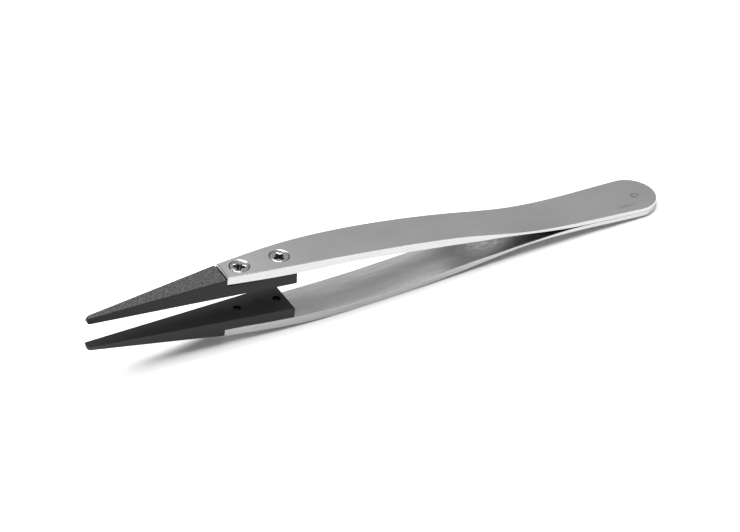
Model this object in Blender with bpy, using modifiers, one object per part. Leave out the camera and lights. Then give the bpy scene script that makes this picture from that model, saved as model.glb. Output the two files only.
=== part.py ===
"""Precision tweezers with replaceable plastic tips, lying on the lower arm.

Two bowed spring-steel arms are welded together at the tail. Each arm carries a black
moulded tip, held by two countersunk cross-recess screws. Both arms are ground thin ahead
of the tail, and they bend there when the tips are pressed together.

The tweezers are designed in millimetres, in a frame of their own: X runs from the tips to
the end of the tail, Y runs across, and z = 0 is the plane midway between the arms. The
upper half is drawn once, and the lower half is the same half turned by 180 degrees about X.
An empty tilts the finished pair onto the floor: it rests on the bow of the lower arm and on
the end of the tail.
"""
import math

import bmesh
import bpy
from mathutils import Matrix, Vector

MM = 0.001

# ---- driving dimensions, in millimetres ----
TAIL_END = 129.3
ARM_FRONT = 28.4            # square front end of the steel
TAIL_RADIUS = 5.65          # round end of the tail
TAIL_ARC_END = 86.0         # degrees of the round end's quarter, before its last flat
TAIL_ARC_STEPS = 10
STATION_STEP = 3.0          # spacing of the arm's cross-sections

# Outer face, inner face and half width of the upper arm, as (x, height or half width).
OUTER_FACE = [(28.4, 7.05), (34, 7.16), (40, 7.25), (46, 7.21), (52, 7.01), (60, 6.53),
              (70, 5.63), (80, 4.36), (90, 2.66), (95, 1.87), (100, 1.36), (105, 1.08),
              (110, 1.00), (116, 0.98), (130, 0.98)]
INNER_FACE = [(28.4, 5.30), (46, 5.30), (52, 5.22), (60, 4.83), (70, 3.87), (80, 2.78),
              (85, 2.23), (90, 1.76), (95, 1.23), (100, 0.70), (105, 0.26), (110, 0.06),
              (116, 0.03), (130, 0.03)]
HALF_WIDTH = [(28.4, 2.62), (33, 3.20), (37, 3.68), (41, 4.06), (45, 4.36), (50, 4.60),
              (60, 4.80), (70, 4.77), (80, 4.67), (90, 4.70), (100, 4.90), (110, 5.16),
              (118, 5.46), (123.65, 5.65)]

REST_FLAT = 4.0             # length of the facet that lies on the floor
FACET_CLEARANCE = 0.5       # no other cross-section this close to the facet
CONTACT_STEP = 0.1          # steps in which the bow is searched for its contact

# The arm bends about the middle of its thinnest stretch, where it is split in two.
HINGE_X = 97.0
SPLIT_GAP = 0.3

# Tips: straight tapers from the nose to the back of the pad under the steel.
TIP_START = -0.3
NOSE_LENGTH = 0.8           # rounded end, furthest out at the gripping face
NOSE_STEPS = 5
NOSE_FACE = 0.45            # height of the nose's very end, as a share of the full height
SHOULDER_X = 28.15          # face that stops just ahead of the steel
PAD_END = 42.9
PAD_GAP = 0.1               # between the pad and the steel
TIP_INNER = (2.68, 3.00)    # height of the gripping face at x = 0 and at the pad's end
TIP_OUTER = (3.86, 6.75)    # height of the outer face at x = 0 and at the shoulder
TIP_HALF_WIDTH = (0.94, 4.42)
TIP_DRAFT = 0.33            # the sides lean in by this much
TIP_CHAMFER = (0.256, 0.32)  # width and height, along the outer edges

# M2 countersunk screws.
SCREW_X = (32.15, 40.87)
SCREW_SINK = 0.08           # head below the outer face
HEAD_RADIUS = 1.86
HEAD_CHAMFER = 0.08
HEAD_RIM = 0.12
SHANK_RADIUS = 0.95
SCREW_LENGTH = 3.78
POINT_CHAMFER = 0.2
RECESS_REACH = 1.15
RECESS_WIDTH = 0.50
RECESS_DEPTH = 0.75
COUNTERSINK_RADIUS = 2.17
CLEARANCE_RADIUS = 1.10
THREAD_RADIUS = 1.03        # hole in the plastic around the screw
PILOT_RADIUS = 0.83         # its last stretch, open on the gripping face
PILOT_DEPTH = 0.25

# Weld nugget between the tails.
WELD_X = 124.9
WELD_RADIUS = 1.5
WELD_FLAT_RADIUS = 1.05
WELD_HALF_HEIGHT = 0.30
WELD_HALF_RIM = 0.10
WELD_GAP = 0.05

ROUND_STEPS = 32
SHARP_ANGLE = 30            # degrees between faces that are shaded apart
OVERCUT = 1.0               # how far a cutter runs past the surface that it starts at
WIDE_CUT = 9.0              # past the widest piece, on every side

STEEL = ("satin_steel", (0.62, 0.62, 0.63), 0.32, 1.0)
PLASTIC = ("black_plastic", (0.035, 0.035, 0.037), 0.50, 0.0)
SCREW_STEEL = ("screw_steel", (0.70, 0.70, 0.70), 0.20, 1.0)
WELD_STEEL = ("weld_steel", (0.45, 0.45, 0.46), 0.45, 1.0)


# ---- outlines ----
def smooth(stations, x):
    """Height at x of a smooth curve through the stations, flat beyond the last one."""
    if x >= stations[-1][0]:
        return stations[-1][1]
    slopes = []
    for i in range(len(stations)):
        before, after = stations[max(i - 1, 0)], stations[min(i + 1, len(stations) - 1)]
        slopes.append((after[1] - before[1]) / (after[0] - before[0]))
    i = max(j for j in range(len(stations) - 1) if stations[j][0] <= x or j == 0)
    (x0, v0), (x1, v1) = stations[i], stations[i + 1]
    span = x1 - x0
    t = (x - x0) / span
    return (v0 * (1 + 2 * t) * (1 - t) ** 2 + v1 * t * t * (3 - 2 * t)
            + span * t * (1 - t) * (slopes[i] * (1 - t) - slopes[i + 1] * t))


def half_width(x):
    """Half width of an arm: waisted sides, then the round end of the tail."""
    centre = TAIL_END - TAIL_RADIUS
    if x <= centre:
        return smooth(HALF_WIDTH, x)
    return math.sqrt(TAIL_RADIUS ** 2 - (x - centre) ** 2)


def floor_contact():
    """Where the bow touches the floor, and the floor's slope in the design frame."""
    tail = smooth(OUTER_FACE, TAIL_END)
    steps = round((HINGE_X - ARM_FRONT) / CONTACT_STEP)
    places = [ARM_FRONT + CONTACT_STEP * i for i in range(1, steps)]
    slope, x = max(((smooth(OUTER_FACE, x) - tail) / (TAIL_END - x), x) for x in places)
    return x, slope


def outer_height(x):
    """Height of an arm's outer face, with the facet that lies on the floor."""
    contact, slope = floor_contact()
    if abs(x - contact) <= REST_FLAT / 2 + 1e-6:
        return smooth(OUTER_FACE, TAIL_END) + slope * (TAIL_END - x)
    return smooth(OUTER_FACE, x)


def arm_stations(start, end):
    """Places of the cross-sections: even steps, the floor facet's ends and the tail's arc."""
    centre = TAIL_END - TAIL_RADIUS
    straight_end = min(end, centre)
    steps = math.ceil((straight_end - start) / STATION_STEP)
    places = [start + (straight_end - start) * i / steps for i in range(steps + 1)]
    contact, _ = floor_contact()
    if start < contact < end:
        places = [x for x in places if abs(x - contact) > REST_FLAT / 2 + FACET_CLEARANCE]
        places += [contact - REST_FLAT / 2, contact + REST_FLAT / 2]
    if end > centre:
        angles = [TAIL_ARC_END * i / TAIL_ARC_STEPS for i in range(1, TAIL_ARC_STEPS + 1)]
        places += [centre + TAIL_RADIUS * math.sin(math.radians(angle)) for angle in angles]
    return sorted(places)


# ---- shapes ----
def loft(name, sections):
    """Closed solid through sections, each (x, [(y, z), ...]) in millimetres."""
    mesh = bpy.data.meshes.new(name)
    shape = bmesh.new()
    rings = [[shape.verts.new(Vector((x, y, z)) * MM) for y, z in ring]
             for x, ring in sections]
    for ring, following in zip(rings, rings[1:]):
        for i in range(len(ring)):
            j = (i + 1) % len(ring)
            shape.faces.new((ring[i], ring[j], following[j], following[i]))
    shape.faces.new(reversed(rings[0]))
    shape.faces.new(rings[-1])
    bmesh.ops.recalc_face_normals(shape, faces=shape.faces)
    shape.to_mesh(mesh)
    shape.free()
    return link(bpy.data.objects.new(name, mesh), parts)


def turned(name, profile, x=0.0, z=0.0):
    """Solid turned about Z from a profile of (radius, height), listed top to bottom."""
    mesh = bpy.data.meshes.new(name)
    points = [(radius * MM, 0.0, height * MM) for radius, height in profile]
    mesh.from_pydata(points, [(i, i + 1) for i in range(len(points) - 1)], [])
    obj = link(bpy.data.objects.new(name, mesh), parts)
    screw = obj.modifiers.new("turn", "SCREW")
    screw.steps = screw.render_steps = ROUND_STEPS
    screw.use_merge_vertices = True
    screw.merge_threshold = 1e-6
    obj.location = (x * MM, 0.0, z * MM)
    return obj


def box(name, low, high):
    """Box between two corners, in millimetres."""
    bpy.ops.mesh.primitive_cube_add(size=1.0)
    obj = bpy.context.object
    obj.name = name
    bpy.context.collection.objects.unlink(obj)
    link(obj, parts)
    low, high = Vector(low) * MM, Vector(high) * MM
    obj.data.transform(Matrix.Translation((low + high) / 2) @ Matrix.Diagonal((*(high - low), 1)))
    return obj


def cut(obj, cutter):
    """Take a cutter out of an object."""
    link(cutter, cutters)
    parts.objects.unlink(cutter)
    cutter.hide_render = True
    cutter.display_type = "WIRE"
    boolean = obj.modifiers.new(cutter.name, "BOOLEAN")
    boolean.operation = "DIFFERENCE"
    boolean.solver = "EXACT"
    boolean.object = cutter


def link(obj, collection):
    collection.objects.link(obj)
    return obj


def finished_mesh(obj):
    """The object's mesh with its modifiers, in the design frame; the object is removed."""
    bpy.context.view_layer.update()
    evaluated = obj.evaluated_get(bpy.context.evaluated_depsgraph_get())
    mesh = bpy.data.meshes.new_from_object(evaluated)
    mesh.transform(obj.matrix_world)
    mesh.name = obj.name
    shape = bmesh.new()
    shape.from_mesh(mesh)
    bmesh.ops.remove_doubles(shape, verts=shape.verts, dist=1e-7)
    shape.to_mesh(mesh)
    shape.free()
    used = [modifier.object for modifier in obj.modifiers if modifier.type == "BOOLEAN"]
    for each in [obj, *used]:
        bpy.data.objects.remove(each)
    return mesh


# ---- sub-parts, all of the upper half ----
def arm_loft(name, start, end):
    """A stretch of the arm, as a bar whose width and thickness both change."""
    sections = []
    for x in arm_stations(start, end):
        wide, top, bottom = half_width(x), outer_height(x), smooth(INNER_FACE, x)
        sections.append((x, [(-wide, bottom), (wide, bottom), (wide, top), (-wide, top)]))
    return loft(name, sections)


def arm_grip():
    """The arm from its square front to the split, with two countersunk holes."""
    arm = arm_loft("arm_grip", ARM_FRONT, HINGE_X - SPLIT_GAP / 2)
    for i, x in enumerate(SCREW_X):
        top = outer_height(x)
        cone_end = top - (COUNTERSINK_RADIUS - CLEARANCE_RADIUS)
        below = smooth(INNER_FACE, x) - OVERCUT
        cut(arm, turned(f"countersink_{i}", [
            (0, top + OVERCUT), (COUNTERSINK_RADIUS + OVERCUT, top + OVERCUT),
            (CLEARANCE_RADIUS, cone_end), (CLEARANCE_RADIUS, below), (0, below)], x))
    return finished_mesh(arm)


def arm_spring():
    """The thinned spring and the tail, with half a pocket for the weld nugget."""
    arm = arm_loft("arm_spring", HINGE_X + SPLIT_GAP / 2, TAIL_END)
    radius, height = WELD_RADIUS + WELD_GAP, WELD_HALF_HEIGHT + WELD_GAP
    cut(arm, turned("weld_pocket", [
        (0, height), (radius, height), (radius, -OVERCUT), (0, -OVERCUT)], WELD_X))
    return finished_mesh(arm)


def along(ends, x, start, end):
    """Value at x of a straight line between two ends."""
    return ends[0] + (ends[1] - ends[0]) * (x - start) / (end - start)


def tip_section(x):
    """Cross-section of a tip: wide gripping face, leaning sides, chamfered outer edges."""
    inner = along(TIP_INNER, x, 0, PAD_END)
    outer = along(TIP_OUTER, x, 0, SHOULDER_X)
    wide = along(TIP_HALF_WIDTH, x, 0, PAD_END)
    from_full = max(1 - (x - TIP_START) / NOSE_LENGTH, 0)
    full = NOSE_FACE + (1 - NOSE_FACE) * math.sqrt(1 - from_full ** 2)
    outer = inner + (outer - inner) * full
    wide *= (1 + full) / 2
    side = wide - TIP_DRAFT
    flat, corner = side - TIP_CHAMFER[0] * full, outer - TIP_CHAMFER[1] * full
    return [(-wide, inner), (wide, inner), (side, corner), (flat, outer), (-flat, outer),
            (-side, corner)]


def tip():
    """Moulded tip: tapered jaw, a shoulder against the steel, and a drilled pad under it."""
    nose = [TIP_START + NOSE_LENGTH * (1 - math.cos(math.pi / 2 * i / NOSE_STEPS))
            for i in range(NOSE_STEPS + 1)]
    body = loft("tip", [(x, tip_section(x)) for x in [*nose, PAD_END]])
    seat = smooth(INNER_FACE, ARM_FRONT) - PAD_GAP
    cut(body, box("steel_seat", (SHOULDER_X, -WIDE_CUT, seat),
                  (PAD_END + OVERCUT, WIDE_CUT, seat + WIDE_CUT)))
    for i, x in enumerate(SCREW_X):
        face = along(TIP_INNER, x, 0, PAD_END)
        cut(body, turned(f"screw_hole_{i}", [
            (0, seat + OVERCUT), (THREAD_RADIUS, seat + OVERCUT),
            (THREAD_RADIUS, face + PILOT_DEPTH), (PILOT_RADIUS, face + PILOT_DEPTH),
            (PILOT_RADIUS, face - OVERCUT), (0, face - OVERCUT)], x))
    return finished_mesh(body)


def screw():
    """Countersunk screw with its head's top at z = 0, and a cross recess."""
    cone_end = HEAD_RIM + HEAD_RADIUS - SHANK_RADIUS
    body = turned("screw", [
        (0, 0), (HEAD_RADIUS - HEAD_CHAMFER, 0), (HEAD_RADIUS, -HEAD_CHAMFER),
        (HEAD_RADIUS, -HEAD_RIM), (SHANK_RADIUS, -cone_end),
        (SHANK_RADIUS, -SCREW_LENGTH + POINT_CHAMFER),
        (SHANK_RADIUS - POINT_CHAMFER, -SCREW_LENGTH), (0, -SCREW_LENGTH)])
    for i, (along_x, along_y) in enumerate([(RECESS_REACH, RECESS_WIDTH / 2),
                                            (RECESS_WIDTH / 2, RECESS_REACH)]):
        cut(body, box(f"recess_{i}", (-along_x, -along_y, -RECESS_DEPTH),
                      (along_x, along_y, OVERCUT)))
    return finished_mesh(body)


def weld_nugget():
    """Lens of fused steel between the tails."""
    return finished_mesh(turned("weld", [
        (0, WELD_HALF_HEIGHT), (WELD_FLAT_RADIUS, WELD_HALF_HEIGHT), (WELD_RADIUS, WELD_HALF_RIM),
        (WELD_RADIUS, -WELD_HALF_RIM), (WELD_FLAT_RADIUS, -WELD_HALF_HEIGHT),
        (0, -WELD_HALF_HEIGHT)]))


# ---- assembly ----
def material(name, colour, roughness, metallic):
    made = bpy.data.materials.new(name)
    made.use_nodes = True
    shader = made.node_tree.nodes["Principled BSDF"]
    shader.inputs["Base Color"].default_value = (*colour, 1.0)
    shader.inputs["Roughness"].default_value = roughness
    shader.inputs["Metallic"].default_value = metallic
    return made


def empty(name, parent=None, location=(0, 0, 0), turn=0.0):
    """Empty that carries pieces, turned about X."""
    made = link(bpy.data.objects.new(name, None), parts)
    made.parent = parent
    made.location = Vector(location) * MM
    made.rotation_euler.x = turn
    return made


def piece(name, mesh, finish, parent, location):
    """A named node made from a finished mesh, placed in its parent empty's frame."""
    made = link(bpy.data.objects.new(name, mesh), parts)
    mesh.materials.clear()
    mesh.materials.append(finish)
    mesh.set_sharp_from_angle(angle=math.radians(SHARP_ANGLE))
    made.parent = parent
    made.location = Vector(location) * MM
    return made


def stand_on_floor(base):
    """Move the tilted tweezers so that their box is centred and stands on z = 0."""
    bpy.context.view_layer.update()
    corners = [obj.matrix_world @ vertex.co for obj in parts.objects if obj.type == "MESH"
               for vertex in obj.data.vertices]
    base.location.x -= (min(c.x for c in corners) + max(c.x for c in corners)) / 2
    base.location.z -= min(c.z for c in corners)


def build():
    steel, plastic = material(*STEEL), material(*PLASTIC)
    screw_steel, weld_steel = material(*SCREW_STEEL), material(*WELD_STEEL)
    grip_mesh, spring_mesh, tip_mesh, screw_mesh = arm_grip(), arm_spring(), tip(), screw()

    _, slope = floor_contact()
    base = empty("tweezers_base")
    base.rotation_euler.y = math.atan(slope)

    hinge_z = (outer_height(HINGE_X) + smooth(INNER_FACE, HINGE_X)) / 2
    for half, turn in (("upper", 0.0), ("lower", math.pi)):
        frame = empty(f"{half}_half", base, turn=turn)
        hinge = empty(f"{half}_hinge", frame, (HINGE_X, 0, hinge_z))
        back = (-HINGE_X, 0, -hinge_z)
        piece(f"{half}_arm_grip", grip_mesh, steel, hinge, back)
        piece(f"{half}_tip", tip_mesh, plastic, hinge, back)
        for place, x in zip(("front", "rear"), SCREW_X):
            top = outer_height(x) - SCREW_SINK
            piece(f"{half}_{place}_screw", screw_mesh, screw_steel, hinge,
                  (x - HINGE_X, 0, top - hinge_z))
        piece(f"{half}_arm_spring", spring_mesh, steel, frame, (0, 0, 0))
    piece("tail_weld", weld_nugget(), weld_steel, base, (WELD_X, 0, 0))
    stand_on_floor(base)


for old in list(bpy.data.objects):
    bpy.data.objects.remove(old)
parts = bpy.data.collections.new("precision_tweezers")
cutters = bpy.data.collections.new("cutters")
bpy.context.scene.collection.children.link(parts)
bpy.context.scene.collection.children.link(cutters)
build()
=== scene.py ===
"""Looks of the precision tweezers: satin steel arms, moulded plastic tips and bright screws.

The shapes are drawn in the tweezers' design frame, in millimetres: X runs from the tips to the
end of the tail, Y runs across, and z = 0 lies midway between the arms. Each shape is the upper
half's, and the lower half is the same shape turned by 180 degrees about X. resting_pose() works
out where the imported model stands, and carries the shapes there.
"""
import math

import bmesh
import bpy
from mathutils import Matrix, Vector


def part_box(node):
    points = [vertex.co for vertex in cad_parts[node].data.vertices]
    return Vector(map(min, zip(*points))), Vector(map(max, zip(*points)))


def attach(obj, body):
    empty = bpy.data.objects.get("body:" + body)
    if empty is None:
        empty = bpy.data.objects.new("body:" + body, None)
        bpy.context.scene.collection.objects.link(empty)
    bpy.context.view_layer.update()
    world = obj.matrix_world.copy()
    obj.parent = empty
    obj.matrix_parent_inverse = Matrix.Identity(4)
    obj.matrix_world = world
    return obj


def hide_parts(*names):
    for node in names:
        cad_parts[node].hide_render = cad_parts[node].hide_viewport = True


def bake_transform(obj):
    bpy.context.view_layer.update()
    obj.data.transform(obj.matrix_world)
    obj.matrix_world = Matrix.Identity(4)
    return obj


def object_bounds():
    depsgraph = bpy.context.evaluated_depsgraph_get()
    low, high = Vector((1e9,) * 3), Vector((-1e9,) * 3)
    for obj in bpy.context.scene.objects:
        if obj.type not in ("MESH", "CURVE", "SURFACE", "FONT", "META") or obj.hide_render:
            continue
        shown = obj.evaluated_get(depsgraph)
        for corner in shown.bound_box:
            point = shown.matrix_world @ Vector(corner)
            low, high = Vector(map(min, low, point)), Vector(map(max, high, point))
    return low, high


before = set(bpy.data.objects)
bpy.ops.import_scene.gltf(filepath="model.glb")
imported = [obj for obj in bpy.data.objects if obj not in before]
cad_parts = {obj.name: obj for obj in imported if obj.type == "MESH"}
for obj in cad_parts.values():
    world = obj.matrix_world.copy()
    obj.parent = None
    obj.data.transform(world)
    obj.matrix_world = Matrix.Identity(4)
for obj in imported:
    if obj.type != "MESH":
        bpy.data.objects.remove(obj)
cad_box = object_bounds()

MM = 0.001

# ---- the arms' outlines, as in the CAD: (x, height or half width) in millimetres ----
TAIL_END = 129.3
ARM_FRONT = 28.4
TAIL_RADIUS = 5.65
OUTER_FACE = [(28.4, 7.05), (34, 7.16), (40, 7.25), (46, 7.21), (52, 7.01), (60, 6.53),
              (70, 5.63), (80, 4.36), (90, 2.66), (95, 1.87), (100, 1.36), (105, 1.08),
              (110, 1.00), (116, 0.98), (130, 0.98)]
INNER_FACE = [(28.4, 5.30), (46, 5.30), (52, 5.22), (60, 4.83), (70, 3.87), (80, 2.78),
              (85, 2.23), (90, 1.76), (95, 1.23), (100, 0.70), (105, 0.26), (110, 0.06),
              (116, 0.03), (130, 0.03)]
HALF_WIDTH = [(28.4, 2.62), (33, 3.20), (37, 3.68), (41, 4.06), (45, 4.36), (50, 4.60),
              (60, 4.80), (70, 4.77), (80, 4.67), (90, 4.70), (100, 4.90), (110, 5.16),
              (118, 5.46), (123.65, 5.65)]
HINGE_X = 97.0

# ---- finer shape of the arms ----
EDGE_RADIUS = 0.07
FRONT_BEVEL = (0.22, 0.48)              # width and height of the square front's outer chamfer
SEAM_EDGE_RADIUS = 0.02                 # along the seam between the tails
SEAM_START, SEAM_END = 98.0, 108.0      # stretch where the inner edges sharpen
EDGE_STEPS = 4
SUPPORT = 0.10                          # flat margin inside each rounded edge
SIDE_LEAN = 0.075                       # how far the sides lean, as a slope
LEAN_END = 118.0                        # the lean fades out from SEAM_START to here
FRONT_REACH = 0.10                      # the front starts ahead of the CAD's, for its chamfer
CORNER_RADIUS = 0.12                    # plan corners of the square front
SIDE_STEP = 0.9                         # between the points along a side
SIDE_MARGINS = (0.3, 0.5)               # left free between a side and its front and tail arcs

# ---- tips, as in the CAD ----
TIP_START = -0.3
NOSE_LENGTH = 0.8
NOSE_FACE = 0.45
SHOULDER_X = 28.15
PAD_END = 42.9
PAD_GAP = 0.1
TIP_INNER = (2.68, 3.00)
TIP_OUTER = (3.86, 6.75)
TIP_HALF_WIDTH = (0.94, 4.42)
TIP_DRAFT = 0.33

# ---- finer shape of the tips ----
END_ROUND = 0.10                        # around the nose's end face
SHOULDER_ROUND = 0.30                   # across the top of the shoulder
TIP_OUTER_RADIUS = 0.30
TIP_INNER_RADIUS = 0.08
PAD_END_ROUND = 0.32                    # across the end of the gripping face
PAD_CORNER = 0.25                       # upright corners of the pad
JAW_STEPS, PAD_STEPS = 24, 12
SEAT_TOOL = (60, 9)                     # far end, and half width and height, of the seat's tool
EJECTOR_MARKS = (27.9, 36.8)
EJECTOR_RADIUS = 1.15
EJECTOR_DEPTH = 0.05
EJECTOR_DRAFT = 0.04

# ---- screws and weld, as in the CAD ----
SCREW_X = (32.15, 40.87)
SCREW_SINK = 0.08
HEAD_RADIUS = 1.86
HEAD_RIM = 0.12
SHANK_RADIUS = 0.95
SCREW_LENGTH = 3.78
COUNTERSINK_RADIUS = 2.17
CLEARANCE_RADIUS = 1.10
THREAD_RADIUS = 1.03
PILOT_RADIUS = 0.83
PILOT_DEPTH = 0.25
WELD_X = 124.9
WELD_POCKET = (1.55, 0.35)              # radius and depth

# ---- finer shape of the screws and their holes ----
PAST = 1                                # how far a tool runs past the surface that it cuts
HEAD_ROUND = [(0.10, 0), (0.03, 0.02), (0, 0.06)]  # how far in and down, around the head
RIM_CHAMFER = (0.06, 0.030)             # width and depth of the shallow cut around each head
RIM_MARGIN = 0.06                       # how far the countersink's rim may be from its radius
WALL_DRAFT, WALL_HEIGHT = 0.07, 0.20    # the near-upright wall around each head
SCREW_TURN = (-31.0, 14.0)              # how far each screw's cross is turned, in degrees
RECESS = [(1.42, 0.54, -0.1), (1.26, 0.38, 0.06), (1.10, 0.27, 0.30), (0.66, 0.16, 0.85),
          (0.1, 0.03, 1.1)]             # reach, half width and depth of the cross, top down
RECESS_WAIST = 1.5                      # the cross's inner corners, in half widths
PAINTED_SHADE_DEPTHS = (0.08, 1.2)             # depths between which the cross gets painted shade
SCREW_END_CHAMFER = 0.2

# ---- finishes of the faces, told apart by the upright part of their normals ----
BROAD, EDGE, INNER, BRIGHT = range(4)   # an arm's finishes
CHAMFER_RISE = (0.2, 0.75)              # front chamfer
LINE_RISE = (0.3, 0.99)                 # rounded inner edge, which shows as a bright line
SIDE_RISE = 0.75                        # a side is below this
SUNK_RISE = 0.97                        # so is a countersink's cone or rim
TIP_TOP_RISE = 0.7                      # a tip's grained face is above this
ARM_CREASE, CREASE = 24, 38             # angles in degrees, shaded sharp above
SIDE_GRAIN, END_GRAIN = 20, 40          # offsets that give sides and ends a grain of their own

# ---- marks and painted shade on the steel, as places along and across an arm ----
WELD_MARK = (124.4, -0.7)
WELD_MARK_RADIUS = 0.66
INNER_SHADE_STEP = (75.5, 82.0)                 # painted shade: the inner face darkens between these, where the arms close in
EDGE_SHADE_FADE = (56.0, 92.0)                # painted shade on the front of the lower arm's edge fades out between these
PALE_PATCH = ((89.7, -1.2), (7.5, 4.5))  # place and size of a paler mottled patch
SMUDGE = ((120.5, -3.5), (2.1, 0.45))   # place and size

# ---- table and light ----
FLOOR_SIZE = 6.0                        # metres
SOFTBOX_PLACE = (-0.18, 0.12, 1.05)     # metres
SOFTBOX_SIZE = (1.0, 0.9)
SOFTBOX_POWER = 22.8
TENT_LIGHT = (1.0, 0.34)                # at the horizon and above
HORIZON_FADE = (0.05, 0.35)             # heights, as sines, between which it dims

# ---- view ----
CAMERA_AIM = (-2.28, 0.64, 5.04)        # millimetres
CAMERA_AZIMUTH = 28.34                  # degrees
CAMERA_ELEVATION = 36.83
CAMERA_ROLL = 0.02
CAMERA_DISTANCE = 600.0                 # millimetres
CAMERA_LENS = 145.03                    # millimetres


# ---- outlines ----
def smooth(stations, x):
    """Height at x of a smooth curve through the stations, flat beyond either end."""
    if x >= stations[-1][0]:
        return stations[-1][1]
    x = max(x, stations[0][0])
    slopes = []
    for i in range(len(stations)):
        before, after = stations[max(i - 1, 0)], stations[min(i + 1, len(stations) - 1)]
        slopes.append((after[1] - before[1]) / (after[0] - before[0]))
    i = max(j for j in range(len(stations) - 1) if stations[j][0] <= x)
    (x0, v0), (x1, v1) = stations[i], stations[i + 1]
    span = x1 - x0
    t = (x - x0) / span
    return (v0 * (1 + 2 * t) * (1 - t) ** 2 + v1 * t * t * (3 - 2 * t)
            + span * t * (1 - t) * (slopes[i] * (1 - t) - slopes[i + 1] * t))


def slope_at(stations, x, reach):
    """Slope of a smooth curve at x, taken over a reach on either side."""
    return (smooth(stations, x + reach) - smooth(stations, x - reach)) / (2 * reach)


def resting_pose():
    """Matrix that carries the design frame, in metres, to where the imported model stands."""
    tail = smooth(OUTER_FACE, TAIL_END)
    slope = max((smooth(OUTER_FACE, i / 10) - tail) / (TAIL_END - i / 10)
                for i in range(int(ARM_FRONT * 10) + 1, int(HINGE_X * 10)))
    tilt = Matrix.Rotation(math.atan(slope), 4, "Y")
    lower_edge = tilt @ Vector((TAIL_END, 0, -tail)) * MM
    tail_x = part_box("lower_arm_spring")[1].x - (tilt @ Vector((TAIL_END, 0, 0)) * MM).x
    return Matrix.Translation((tail_x, 0, cad_box[0].z - lower_edge.z)) @ tilt


def arc(centre, radius, start, end, steps):
    """Points of an arc between two angles in degrees, with their outward normals."""
    made = []
    for i in range(steps + 1):
        angle = math.radians(start + (end - start) * i / steps)
        normal = (math.cos(angle), math.sin(angle))
        made.append(((centre[0] + radius * normal[0], centre[1] + radius * normal[1]), normal))
    return made


def arm_outline():
    """One side of an arm's plan outline, front to tail: points with their outward normals."""
    corner = ARM_FRONT - FRONT_REACH + CORNER_RADIUS
    corner_side = smooth(HALF_WIDTH, corner) - CORNER_RADIUS
    tail_centre = TAIL_END - TAIL_RADIUS
    first, last = corner + SIDE_MARGINS[0], tail_centre - SIDE_MARGINS[1]
    steps = round((last - first) / SIDE_STEP)
    side = []
    for i in range(steps + 1):
        x = first + (last - first) * i / steps
        rise = slope_at(HALF_WIDTH, x, 0.1)
        length = math.hypot(rise, 1)
        side.append(((x, smooth(HALF_WIDTH, x)), (-rise / length, 1 / length)))
    return (arc((corner, corner_side), CORNER_RADIUS, 180, 97, 5) + side
            + arc((tail_centre, 0), TAIL_RADIUS, 90, 2, 22))


# ---- meshes ----
def mesh_object(name, shape):
    """Object made from a bmesh drawn in millimetres."""
    mesh = bpy.data.meshes.new(name)
    bmesh.ops.remove_doubles(shape, verts=shape.verts, dist=1e-4)
    bmesh.ops.recalc_face_normals(shape, faces=shape.faces)
    shape.to_mesh(mesh)
    shape.free()
    obj = bpy.data.objects.new(name, mesh)
    bpy.context.scene.collection.objects.link(obj)
    return obj


def add_rings(shape, rings):
    """Add rings of as many points each to a bmesh, joined by quads, and give their vertices."""
    made = [[shape.verts.new(point) for point in ring] for ring in rings]
    for ring, following in zip(made, made[1:]):
        for i in range(len(ring)):
            j = (i + 1) % len(ring)
            shape.faces.new((ring[i], ring[j], following[j], following[i]))
    return made


def skin(name, rings):
    """Closed solid through rings of as many points each, capped at both ends."""
    shape = bmesh.new()
    made = add_rings(shape, rings)
    shape.faces.new(reversed(made[0]))
    shape.faces.new(made[-1])
    return mesh_object(name, shape)


def turned(name, profile, x=0.0, steps=64, slope=0.0):
    """Solid turned about an upright axis at x, from (radius, height) points, top first."""
    rings = []
    for radius, height in profile:
        ring = []
        for i in range(steps):
            ahead = radius * math.cos(2 * math.pi * i / steps)
            ring.append((x + ahead, radius * math.sin(2 * math.pi * i / steps),
                         height + slope * ahead))
        rings.append(ring)
    return skin(name, rings)


def apply_modifiers(obj):
    """Give an object the mesh that its modifiers make."""
    bpy.context.view_layer.update()
    evaluated = obj.evaluated_get(bpy.context.evaluated_depsgraph_get())
    mesh = bpy.data.meshes.new_from_object(evaluated)
    obj.modifiers.clear()
    obj.data = mesh


def cut(obj, *tools):
    """Take the tools out of an object, in one mesh."""
    for tool in tools:
        boolean = obj.modifiers.new(tool.name, "BOOLEAN")
        boolean.operation = "DIFFERENCE"
        boolean.solver = "EXACT"
        boolean.object = tool
    apply_modifiers(obj)
    for tool in tools:
        bpy.data.objects.remove(tool)
    return obj


def edge_size(face, x, ahead):
    """Width and height of an arm's edge: round, small along the seam, a chamfer in front."""
    if face is OUTER_FACE:
        front = max(-ahead, 0)
        return [EDGE_RADIUS + (size - EDGE_RADIUS) * front for size in FRONT_BEVEL]
    closed = min(max((x - SEAM_START) / (SEAM_END - SEAM_START), 0), 1)
    radius = EDGE_RADIUS + (SEAM_EDGE_RADIUS - EDGE_RADIUS) * closed
    return radius, radius


def edge_shares(face, turn, ahead):
    """How much of an edge's width and height is cut away, at a turn from 0 to 1 around it."""
    flat = max(-ahead, 0) if face is OUTER_FACE else 0
    angle = turn * math.pi / 2
    return (flat * (1 - turn) + (1 - flat) * (1 - math.sin(angle)),
            flat * turn + (1 - flat) * (1 - math.cos(angle)))


def lean(face, x):
    """How far an arm's side has leant in at a face: the outer face is the narrower one."""
    fade = min(max((LEAN_END - x) / (LEAN_END - SEAM_START), 0), 1)
    thickness = smooth(OUTER_FACE, x) - smooth(INNER_FACE, x)
    return SIDE_LEAN * fade * thickness / 2 * (1 if face is OUTER_FACE else -1)


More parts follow.
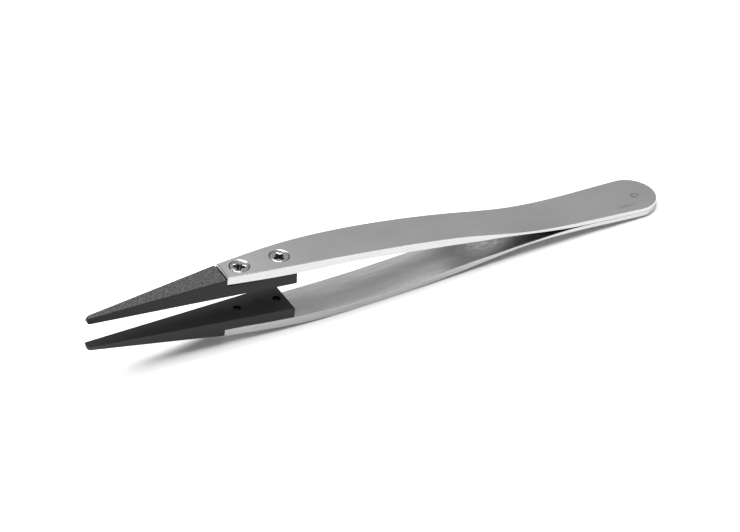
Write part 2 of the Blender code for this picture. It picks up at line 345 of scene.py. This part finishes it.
def edge_ring(outline, face, turn, margin):
    """Ring around an arm, at a turn from 0 on the face to 1 on the side."""
    inward = 1 if face is INNER_FACE else -1
    half = []
    for (x, y), (nx, ny) in outline:
        width, height = edge_size(face, x, nx)
        aside, down = edge_shares(face, turn, nx)
        inset = width * aside + margin + lean(face, x) * ny
        at = x - nx * inset
        half.append((at, y - ny * inset, smooth(face, at) + inward * height * down))
    return half + [(x, -y, z) for x, y, z in reversed(half)]


def countersink(x):
    """Tool for a screw's hole: a shallow chamfer around the head, then the cone."""
    top, (width, depth) = smooth(OUTER_FACE, x), RIM_CHAMFER
    slope = slope_at(OUTER_FACE, x, 1)
    shelf = COUNTERSINK_RADIUS - width
    return turned("countersink", [
        (COUNTERSINK_RADIUS + width, top + depth), (COUNTERSINK_RADIUS, top),
        (shelf, top - depth), (shelf - WALL_DRAFT, top - depth - WALL_HEIGHT),
        (CLEARANCE_RADIUS, top - (COUNTERSINK_RADIUS - CLEARANCE_RADIUS)),
        (CLEARANCE_RADIUS, top - 3 * PAST)], x, 96, slope)


def arm_shape():
    """An arm with rounded edges, countersunk holes and half of the weld's pocket."""
    outline = arm_outline()
    turns = [i / EDGE_STEPS for i in range(EDGE_STEPS + 1)]
    levels = [(OUTER_FACE, 0.0, SUPPORT)] + [(OUTER_FACE, turn, 0.0) for turn in turns]
    levels += [(INNER_FACE, turn, 0.0) for turn in reversed(turns)]
    levels.append((INNER_FACE, 0.0, SUPPORT))
    shape = bmesh.new()
    made = add_rings(shape, [edge_ring(outline, *level) for level in levels])
    count = len(made[0])
    for ring in (made[0], made[-1]):
        for i in range(count // 2 - 1):
            shape.faces.new((ring[i], ring[i + 1], ring[count - 2 - i], ring[count - 1 - i]))
    arm = mesh_object("arm", shape)
    radius, depth = WELD_POCKET
    pocket = turned("weld_pocket", [(radius, depth), (radius, -PAST)], WELD_X)
    return cut(arm, *[countersink(x) for x in SCREW_X], pocket)


def rounded_corner(corner, radius, start, end, steps, margin):
    """Arc that rounds a corner, with a point a little before and after it."""
    cy, cz = corner
    before, after = math.radians(start), math.radians(end)
    lead_in = (cy + radius * math.cos(before) + margin * math.sin(before),
               cz + radius * math.sin(before) - margin * math.cos(before))
    lead_out = (cy + radius * math.cos(after) - margin * math.sin(after),
                cz + radius * math.sin(after) + margin * math.cos(after))
    return [lead_in, *(point for point, _ in arc(corner, radius, start, end, steps)), lead_out]


def along(ends, x, start, end):
    """Value at x of a straight line between two ends."""
    return ends[0] + (ends[1] - ends[0]) * (x - start) / (end - start)


def quarter_drop(radius, past):
    """How far a quarter round has dropped, at a distance past its start."""
    past = min(max(past, 0), radius)
    return radius - math.sqrt(radius ** 2 - past ** 2)


def tip_section(x, inset=0.0):
    """Ring across a tip at x: wide gripping face, leaning sides, rounded outer edges."""
    inner = along(TIP_INNER, x, 0, PAD_END)
    outer = along(TIP_OUTER, x, 0, SHOULDER_X)
    wide = along(TIP_HALF_WIDTH, x, 0, PAD_END)
    from_full = max(1 - (x - TIP_START) / NOSE_LENGTH, 0)
    full = NOSE_FACE + (1 - NOSE_FACE) * math.sqrt(1 - from_full ** 2)
    outer = inner + (outer - inner) * full - inset
    outer -= quarter_drop(SHOULDER_ROUND, x - (SHOULDER_X - SHOULDER_ROUND))
    inner += inset + quarter_drop(PAD_END_ROUND, x - (PAD_END - PAD_END_ROUND))
    wide = wide * (1 + full) / 2 - inset - quarter_drop(PAD_CORNER, x - (PAD_END - PAD_CORNER))
    top = wide - TIP_DRAFT
    big = min(TIP_OUTER_RADIUS, (outer - inner) * 0.5, top * 0.6)
    small = TIP_INNER_RADIUS * full
    right = (rounded_corner((wide - small, inner + small), small, -90, 0, 2, small)
             + rounded_corner((top - big, outer - big), big, 0, 90, 6, small))
    left = [(-y, z) for y, z in reversed(right)]
    return [(x, y, z) for y, z in right + left]


def tip_shape():
    """A tip: tapered jaw, shoulder, drilled pad, and two shallow ejector marks."""
    rings = []
    for angle in range(0, 91, 30):
        turn = math.radians(angle)
        rings.append(tip_section(TIP_START + END_ROUND * (1 - math.cos(turn)),
                                 END_ROUND * (1 - math.sin(turn))))
    nose_end, shoulder = TIP_START + NOSE_LENGTH, SHOULDER_X - SHOULDER_ROUND
    places = [TIP_START + NOSE_LENGTH * (1 - math.cos(math.radians(angle)))
              for angle in range(36, 91, 9)]
    places += [nose_end + (shoulder - nose_end) * i / JAW_STEPS for i in range(1, JAW_STEPS + 1)]
    places += [shoulder + SHOULDER_ROUND * math.sin(math.radians(a)) for a in range(15, 91, 15)]
    pad_flat = PAD_END - PAD_END_ROUND
    places += [SHOULDER_X + (pad_flat - SHOULDER_X) * i / PAD_STEPS
               for i in range(1, PAD_STEPS + 1)]
    places += [pad_flat + PAD_END_ROUND * math.sin(math.radians(a)) for a in range(15, 91, 15)]
    tip = skin("tip", rings + [tip_section(x) for x in places])
    seat = smooth(INNER_FACE, ARM_FRONT) - PAD_GAP
    end, size = SEAT_TOOL
    seat_rings = [[(SHOULDER_X, -size, z), (end, -size, z), (end, size, z), (SHOULDER_X, size, z)]
                  for z in (seat, seat + size)]
    tools = [skin("steel_seat", seat_rings)]
    for x in SCREW_X:
        face = along(TIP_INNER, x, 0, PAD_END)
        tools.append(turned("screw_hole", [
            (THREAD_RADIUS, seat + PAST), (THREAD_RADIUS, face + PILOT_DEPTH),
            (PILOT_RADIUS, face + PILOT_DEPTH), (PILOT_RADIUS, face - PAST)], x, 40))
    for x in EJECTOR_MARKS:
        face = along(TIP_INNER, x, 0, PAD_END)
        tools.append(turned("ejector_mark", [
            (EJECTOR_RADIUS - EJECTOR_DRAFT, face + EJECTOR_DEPTH),
            (EJECTOR_RADIUS, face - PAST / 2)], x, 40))
    return cut(tip, *tools)


def recess_ring(reach, half, depth):
    """Cross-shaped ring of a screw's recess at a depth."""
    inner = half * RECESS_WAIST
    quarter = [(reach, -half), (reach, half), (inner, inner)]
    ring = []
    for turn in range(4):
        c, s = round(math.cos(turn * math.pi / 2)), round(math.sin(turn * math.pi / 2))
        ring += [(x * c - y * s, x * s + y * c, -depth) for x, y in quarter]
    return ring


def screw_shape():
    """Countersunk screw, head's top at z = 0, with a tapered cross recess."""
    cone_end = HEAD_RIM + HEAD_RADIUS - SHANK_RADIUS
    body = turned("screw", [
        (0.02, 0), *((HEAD_RADIUS - into, -down) for into, down in HEAD_ROUND),
        (HEAD_RADIUS, -HEAD_RIM),
        (SHANK_RADIUS, -cone_end), (SHANK_RADIUS, -SCREW_LENGTH + SCREW_END_CHAMFER),
        (SHANK_RADIUS - SCREW_END_CHAMFER, -SCREW_LENGTH)])
    return cut(body, skin("recess", [recess_ring(*level) for level in RECESS]))


# ---- materials ----
class Nodes:
    """Short way to build a material's node tree."""

    def __init__(self, name):
        self.material = bpy.data.materials.new(name)
        self.material.use_nodes = True
        self.tree = self.material.node_tree
        self.shader = self.tree.nodes["Principled BSDF"]

    def add(self, kind, links=(), **values):
        """Adds a node; links are (input name or number, output socket) pairs."""
        node = self.tree.nodes.new("ShaderNode" + kind)
        for key, value in values.items():
            if hasattr(node, key):
                setattr(node, key, value)
            else:
                node.inputs[key.replace("_", " ")].default_value = value
        for socket, source in links:
            self.tree.links.new(source, node.inputs[socket])
        return node

    def noise(self, vector, stretch, detail=2.0, roughness=0.5):
        """Noise at so many cycles a millimetre along and across the vector's plane."""
        mapping = self.add("Mapping", [("Vector", vector)], Scale=stretch)
        return self.add("TexNoise", [("Vector", mapping.outputs[0])], Scale=1.0, Detail=detail,
                        Roughness=roughness).outputs["Fac"]

    def reach(self, vector, centre, size=(1.0, 1.0)):
        """Distance from a centre, in units of a size along and across."""
        offset = self.add("VectorMath", [(0, vector)], operation="SUBTRACT")
        offset.inputs[1].default_value = (*centre, 0.0)
        share = self.add("VectorMath", [(0, offset.outputs[0])], operation="DIVIDE")
        share.inputs[1].default_value = (*size, 1.0)
        return self.add("VectorMath", [(0, share.outputs[0])],
                        operation="LENGTH").outputs["Value"]

    def ramp(self, value, low, high, to_low, to_high):
        """A value mapped from one range to another, and clamped."""
        node = self.add("MapRange", [("Value", value)])
        for name, number in (("From Min", low), ("From Max", high), ("To Min", to_low),
                             ("To Max", to_high)):
            node.inputs[name].default_value = number
        return node.outputs[0]

    def math(self, operation, a, b):
        """Result of a Math node on two numbers or output sockets."""
        node = self.add("Math", operation=operation)
        for socket, value in zip(node.inputs, (a, b)):
            if isinstance(value, (int, float)):
                socket.default_value = value
            else:
                self.tree.links.new(value, socket)
        return node.outputs[0]

    def colour(self, value, dark, light):
        """Colour between dark and light, by a value from 0 to 1."""
        node = self.add("Mix", data_type="RGBA")
        self.tree.links.new(value, node.inputs[0])
        node.inputs[6].default_value = (*dark, 1)
        node.inputs[7].default_value = (*light, 1)
        return node.outputs[2]

    def bump(self, height, distance, strength):
        """Lets a height bump the surface."""
        node = self.add("Bump", [("Height", height)], Distance=distance, Strength=strength)
        self.tree.links.new(node.outputs[0], self.shader.inputs["Normal"])

    def set(self, **values):
        """Sets the shader's inputs, to values or to output sockets."""
        for key, value in values.items():
            socket = self.shader.inputs[key.replace("_", " ")]
            if hasattr(value, "is_output"):
                self.tree.links.new(value, socket)
            else:
                socket.default_value = value


def satin_steel(marked):
    """Even satin face, grained along the arm; marked adds the weld's mark and a smudge."""
    n = Nodes("satin_steel_marked" if marked else "satin_steel")
    place = n.add("UVMap", uv_map="grain").outputs[0]
    streaks = n.noise(place, (0.12, 9.0, 1), 4.0, 0.6)
    fine = n.noise(place, (2.5, 16.0, 1), 3.0, 0.6)
    cloud = n.noise(place, (0.05, 0.12, 1), 2.0)
    tone = n.math("ADD", n.math("MULTIPLY", streaks, 0.6), n.math("MULTIPLY", cloud, 0.4))
    tone = n.ramp(tone, 0.32, 0.68, 0.2, 1.0)
    if marked:
        ring = n.math("SUBTRACT", n.reach(place, WELD_MARK), WELD_MARK_RADIUS)
        ring = n.ramp(n.math("ABSOLUTE", ring, 0), 0.05, 0.50, 1.0, 0.0)
        smudge = n.ramp(n.reach(place, *SMUDGE), 0.3, 1.3, 1.0, 0.0)
        mottle = n.ramp(n.noise(place, (0.9, 0.9, 1), 2.0), 0.38, 0.62, 0.4, 1.6)
        stain = n.math("MULTIPLY", n.math("MAXIMUM", ring, smudge), mottle)
        tone = n.ramp(n.math("SUBTRACT", tone, stain), -1.0, 1.0, 0.0, 1.0)
        colour = n.colour(tone, (0.28, 0.28, 0.285), (0.56, 0.56, 0.57))
    else:
        colour = n.colour(tone, (0.44, 0.44, 0.45), (0.56, 0.56, 0.57))
    n.set(Base_Color=colour, Metallic=1.0, Roughness=n.ramp(fine, 0.3, 0.7, 0.34, 0.46))
    n.bump(n.math("ADD", n.math("MULTIPLY", streaks, 0.5), fine), 0.003 * MM, 0.5)
    return n.material


def brushed_steel():
    """Inner face: streaks along the arm, lighter towards the jaw and darkened with painted shade
    where the arms close in, with a paler mottled patch.
    """
    n = Nodes("brushed_steel")
    place = n.add("UVMap", uv_map="grain").outputs[0]
    streaks = n.noise(place, (0.10, 4.5, 1), 5.0, 0.65)
    rubs = n.noise(place, (0.16, 0.8, 1), 3.0, 0.6)
    tone = n.math("ADD", n.math("MULTIPLY", streaks, 0.7), n.math("MULTIPLY", rubs, 0.3))
    tone = n.ramp(tone, 0.30, 0.70, 0.0, 0.5)
    ahead = n.add("SeparateXYZ", [(0, place)]).outputs["X"]
    # painted shade: lighter ahead of the step, darker beyond it where the arms close in
    tone = n.math("ADD", tone, n.ramp(ahead, *INNER_SHADE_STEP, 0.42, -0.10))
    mottle = n.noise(place, (0.7, 0.9, 1), 4.0, 0.7)
    patch = n.ramp(n.reach(place, *PALE_PATCH), 0.3, 1.2, 1.0, 0.0)
    tone = n.math("ADD", tone, n.math("MULTIPLY", patch, n.ramp(mottle, 0.35, 0.65, 0.0, 1.1)))
    n.set(Base_Color=n.colour(tone, (0.30, 0.30, 0.305), (0.76, 0.76, 0.765)), Metallic=1.0,
          Roughness=n.ramp(streaks, 0.3, 0.7, 0.30, 0.44))
    n.bump(streaks, 0.006 * MM, 0.6)
    return n.material


def polished_steel(front_shade):
    """Bright ground edge with fine lines along it; for the lower arm its front part is darkened with
    painted shade.
    """
    n = Nodes("polished_steel_front_shade" if front_shade else "polished_steel")
    place = n.add("UVMap", uv_map="grain").outputs[0]
    lines = n.noise(place, (0.10, 5.0, 1), 4.0, 0.65)
    tone = n.ramp(lines, 0.3, 0.7, 0.5, 1)
    if front_shade:
        # painted shade darkens the lower arm's edge towards the front, where it reflects the table's
        # shadow
        ahead = n.add("SeparateXYZ", [(0, place)]).outputs["X"]
        tone = n.math("SUBTRACT", tone, n.ramp(ahead, *EDGE_SHADE_FADE, 0.36, 0.0))
    n.set(Base_Color=n.colour(tone, (0.34, 0.34, 0.34), (0.58, 0.58, 0.58)),
          Metallic=1.0, Roughness=n.ramp(lines, 0.3, 0.7, 0.18, 0.32))
    n.bump(lines, 0.005 * MM, 0.5)
    return n.material


def black_plastic():
    """Smooth moulded faces: nearly black, with a faint fine grain."""
    n = Nodes("black_plastic")
    place = n.add("UVMap", uv_map="grain").outputs[0]
    grain = n.noise(place, (3.5, 3.5, 1), 4.0, 0.65)
    tone = n.ramp(grain, 0.3, 0.7, 0.0, 1.0)
    n.set(Base_Color=n.colour(tone, (0.004, 0.004, 0.0045), (0.010, 0.010, 0.011)),
          Roughness=n.ramp(grain, 0.3, 0.7, 0.42, 0.56), Specular_IOR_Level=0.30)
    n.bump(grain, 0.012 * MM, 0.5)
    return n.material


def grained_plastic():
    """Spark-eroded grain of the outer face, which scatters light in small grey specks."""
    n = Nodes("grained_plastic")
    place = n.add("UVMap", uv_map="grain").outputs[0]
    grain = n.noise(place, (1.6, 2.2, 1), 4.0, 0.75)
    specks = n.noise(place, (3.2, 3.8, 1), 2.0, 0.6)
    tone = n.math("ADD", n.math("MULTIPLY", grain, 0.4), n.math("MULTIPLY", specks, 0.6))
    tone = n.ramp(tone, 0.42, 0.58, 0.0, 0.8)
    tone = n.math("ADD", tone, n.ramp(n.noise(place, (1.9, 2.1, 1), 0.0), 0.74, 0.80, 0.0, 1.6))
    n.set(Base_Color=n.colour(tone, (0.006, 0.006, 0.007), (0.084, 0.084, 0.087)),
          Roughness=n.ramp(grain, 0.3, 0.7, 0.60, 0.75), Specular_IOR_Level=0.4)
    n.bump(specks, 0.03 * MM, 0.6)
    return n.material


def bright_steel():
    """Bright metal of the screws, and of the arms' front chamfers and inner edges."""
    n = Nodes("bright_steel")
    place = n.add("UVMap", uv_map="grain").outputs[0]
    grain = n.noise(place, (3.0, 3.0, 1), 3.0, 0.6)
    tone = n.ramp(grain, 0.3, 0.7, 0, 1)
    n.set(Base_Color=n.colour(tone, (0.62, 0.62, 0.62), (0.82, 0.82, 0.81)),
          Metallic=1.0, Roughness=n.ramp(grain, 0.3, 0.7, 0.14, 0.28))
    n.bump(grain, 0.01 * MM, 0.4)
    return n.material


def painted_shade_steel(name, dark, light):
    """Dark metal as painted shade, deep in a screw's cross and at its cut end."""
    n = Nodes(name)
    place = n.add("UVMap", uv_map="grain").outputs[0]
    shade_mottle = n.noise(place, (4.0, 4.0, 1), 3.0, 0.6)
    tone = n.ramp(shade_mottle, 0.35, 0.65, 0, 1)
    n.set(Base_Color=n.colour(tone, (dark,) * 3, (light,) * 3),
          Metallic=1.0, Roughness=n.ramp(shade_mottle, 0.3, 0.7, 0.35, 0.55))
    n.bump(shade_mottle, 0.02 * MM, 0.5)
    return n.material


def weld_steel():
    """Fused metal, duller than the arms, with a scaly surface."""
    n = Nodes("weld_steel")
    place = n.add("TexCoord").outputs["Object"]
    scale = n.noise(place, (2500, 2500, 2500), 3.0, 0.6)
    tone = n.ramp(scale, 0.3, 0.7, 0, 1)
    n.set(Base_Color=n.colour(tone, (0.32, 0.31, 0.30), (0.52, 0.51, 0.50)),
          Metallic=1.0, Roughness=n.ramp(scale, 0.3, 0.7, 0.4, 0.6))
    n.bump(scale, 0.02 * MM, 0.6)
    return n.material


def grain_map(obj, middle):
    """UVs in millimetres: (x, y) on broad faces, (x, height) on sides, (height, y) on ends."""
    mesh = obj.data
    layer = mesh.uv_layers.get("grain") or mesh.uv_layers.new(name="grain")
    for face in mesh.polygons:
        nx, ny, nz = (abs(v) for v in face.normal)
        for index in face.loop_indices:
            x, y, z = mesh.vertices[mesh.loops[index].vertex_index].co
            if nz >= max(nx, ny):
                place = (x, y)
            elif ny >= nx:
                place = (x, SIDE_GRAIN + z - middle(x))
            else:
                place = (END_GRAIN + z - middle(x), y)
            layer.data[index].uv = place


def shade(obj, crease=CREASE, rims=()):
    """Smooth shading, but sharp at creases and around each (x, radius) of rims."""
    mesh = obj.data
    mesh.shade_smooth()
    mesh.set_sharp_from_angle(angle=math.radians(crease))
    sharp = mesh.attributes.get("sharp_edge") or mesh.attributes.new("sharp_edge", "BOOLEAN", "EDGE")
    for edge in mesh.edges:
        ends = [mesh.vertices[i].co for i in edge.vertices]
        for x, radius in rims:
            if all(abs(math.hypot(end.x - x, end.y) - radius) < RIM_MARGIN for end in ends):
                sharp.data[edge.index].value = True
    weighted = obj.modifiers.new("weighted_normals", "WEIGHTED_NORMAL")
    weighted.keep_sharp = True
    apply_modifiers(obj)


def place_piece(shape, name, lower, pose, finishes, replaced, at=(0, 0, 0), turn=0.0):
    """Copy of a shape as a piece of the upper or lower half, standing where the CAD does."""
    mesh = shape.data.copy()
    mesh.name = name
    piece = bpy.data.objects.new(name, mesh)
    bpy.context.scene.collection.objects.link(piece)
    half = Matrix.Rotation(math.pi, 4, "X") if lower else Matrix.Identity(4)
    local = Matrix.Translation(Vector(at) * MM) @ Matrix.Rotation(math.radians(turn), 4, "Z")
    mesh.transform(pose @ half @ local @ Matrix.Scale(MM, 4))
    for finish in finishes:
        mesh.materials.append(finish)
    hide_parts(*replaced)
    return piece


# ---- the object ----
def in_rim(point):
    """Whether a point of the arm lies inside a countersink."""
    return any(math.hypot(point.x - x, point.y) < COUNTERSINK_RADIUS for x in SCREW_X)


def arm_finish(face):
    """Which finish a face of an arm takes, in the upper half's shape."""
    x, up, sunk = face.center.x, face.normal.z, in_rim(face.center)
    if x < ARM_FRONT + FRONT_BEVEL[0] and CHAMFER_RISE[0] < up < CHAMFER_RISE[1]:
        return BRIGHT
    if x < SEAM_START and LINE_RISE[0] < -up < LINE_RISE[1] and not sunk:
        return BRIGHT
    if abs(up) < (SUNK_RISE if sunk else SIDE_RISE):
        return EDGE
    return BROAD if up > 0 else INNER


def make_arms(pose):
    """One continuous strip for each arm, from its front to the tail, fixed in the resting pose."""
    shape = arm_shape()
    shade(shape, ARM_CREASE, [(x, COUNTERSINK_RADIUS) for x in SCREW_X])
    grain_map(shape, lambda x: (smooth(OUTER_FACE, x) + smooth(INNER_FACE, x)) / 2)
    for face in shape.data.polygons:
        face.material_index = arm_finish(face)
    inner, bright = brushed_steel(), bright_steel()
    for half in ("upper", "lower"):
        lower = half == "lower"
        # the lower arm's polished edge takes painted shade at its front
        finishes = [satin_steel(not lower), polished_steel(lower), inner, bright]
        arm = place_piece(shape, f"{half}_arm", lower, pose, finishes,
                          [f"{half}_arm_grip", f"{half}_arm_spring"])
        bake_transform(arm)
    bpy.data.objects.remove(shape)


def make_tips(pose):
    """Both tips, smooth all over but for the grained outer face of the jaw."""
    shape = tip_shape()
    shade(shape)
    grain_map(shape, lambda x: 0.0)
    for face in shape.data.polygons:
        on_jaw = face.center.x < SHOULDER_X
        face.material_index = 1 if on_jaw and face.normal.z > TIP_TOP_RISE else 0
    finishes = [black_plastic(), grained_plastic()]
    for half in ("upper", "lower"):
        tip = place_piece(shape, f"{half}_tip_moulding", half == "lower", pose, finishes,
                          [f"{half}_tip"])
        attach(tip, f"{half}_jaw")
    bpy.data.objects.remove(shape)


def make_screws(pose):
    """Four bright screws, with painted shade deep in the cross and at the end."""
    shape = screw_shape()
    shade(shape)
    grain_map(shape, lambda x: 0.0)
    for face in shape.data.polygons:
        depth = -face.center.z
        near_axis = math.hypot(face.center.x, face.center.y) < SHANK_RADIUS
        # painted shade: dark metal on the cut end, seen down the tip's hole, and deep in the cross
        if depth > SCREW_LENGTH - SCREW_END_CHAMFER:
            face.material_index = 2
        elif near_axis and PAINTED_SHADE_DEPTHS[0] < depth < PAINTED_SHADE_DEPTHS[1]:
            face.material_index = 1
    finishes = [bright_steel(), painted_shade_steel("recess_painted_shade", 0.012, 0.07),
                painted_shade_steel("screw_end_painted_shade", 0.008, 0.045)]
    for half in ("upper", "lower"):
        for place, x, turn in zip(("front", "rear"), SCREW_X, SCREW_TURN):
            at = (x, 0, smooth(OUTER_FACE, x) - SCREW_SINK)
            screw = place_piece(shape, f"{half}_{place}_cross_screw", half == "lower", pose,
                                finishes, [f"{half}_{place}_screw"], at, turn)
            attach(screw, f"{half}_jaw")
    bpy.data.objects.remove(shape)


def make_weld():
    """The nugget keeps its CAD shape and gets its finish."""
    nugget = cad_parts["tail_weld"]
    nugget.data.materials.clear()
    nugget.data.materials.append(weld_steel())


# ---- stage ----
def make_stage():
    """A white table, larger than the view."""
    bpy.ops.mesh.primitive_plane_add(size=FLOOR_SIZE)
    floor = bpy.context.object
    floor.name = "floor"
    n = Nodes("white_table")
    n.set(Base_Color=(0.86, 0.86, 0.86, 1), Roughness=0.9, Specular_IOR_Level=0.1)
    floor.data.materials.append(n.material)


def make_softbox():
    """A wide softbox overhead, aimed at the origin."""
    light = bpy.data.lights.new("overhead_softbox", "AREA")
    light.shape = "RECTANGLE"
    light.size, light.size_y = SOFTBOX_SIZE
    light.energy = SOFTBOX_POWER
    softbox = bpy.data.objects.new("overhead_softbox", light)
    bpy.context.scene.collection.objects.link(softbox)
    softbox.location = SOFTBOX_PLACE
    softbox.rotation_euler = (-Vector(SOFTBOX_PLACE)).to_track_quat("-Z", "Y").to_euler()


def make_tent():
    """Even light from all around, brighter near the horizon than above."""
    world = bpy.data.worlds.new("light_tent")
    world.use_nodes = True
    nodes, links = world.node_tree.nodes, world.node_tree.links
    direction = nodes.new("ShaderNodeTexCoord")
    height = nodes.new("ShaderNodeSeparateXYZ")
    links.new(direction.outputs["Generated"], height.inputs[0])
    fade = nodes.new("ShaderNodeMapRange")
    fade.interpolation_type = "SMOOTHSTEP"
    fade.inputs["From Min"].default_value, fade.inputs["From Max"].default_value = HORIZON_FADE
    fade.inputs["To Min"].default_value, fade.inputs["To Max"].default_value = TENT_LIGHT
    links.new(height.outputs["Z"], fade.inputs["Value"])
    background = nodes["Background"]
    background.inputs["Color"].default_value = (1, 1, 1, 1)
    links.new(fade.outputs[0], background.inputs["Strength"])
    bpy.context.scene.world = world
    bpy.context.scene.view_settings.view_transform = "Standard"


def make_camera():
    """Camera that looks down on the tweezers from the near side of the tips."""
    azimuth, elevation = math.radians(CAMERA_AZIMUTH), math.radians(CAMERA_ELEVATION)
    ahead = Vector((math.sin(azimuth) * math.cos(elevation),
                    math.cos(azimuth) * math.cos(elevation), -math.sin(elevation)))
    camera = bpy.data.objects.new("camera", bpy.data.cameras.new("camera"))
    bpy.context.scene.collection.objects.link(camera)
    camera.data.lens = CAMERA_LENS
    camera.data.clip_start = 0.01
    camera.location = (Vector(CAMERA_AIM) - ahead * CAMERA_DISTANCE) * MM
    level = ahead.to_track_quat("-Z", "Y")
    camera.rotation_mode = "QUATERNION"
    camera.rotation_quaternion = level @ Matrix.Rotation(math.radians(CAMERA_ROLL), 3,
                                                         "Z").to_quaternion()
    bpy.context.scene.camera = camera


make_camera()
make_stage()
make_softbox()
make_tent()
resting = resting_pose()
make_arms(resting)
make_tips(resting)
make_screws(resting)
make_weld()
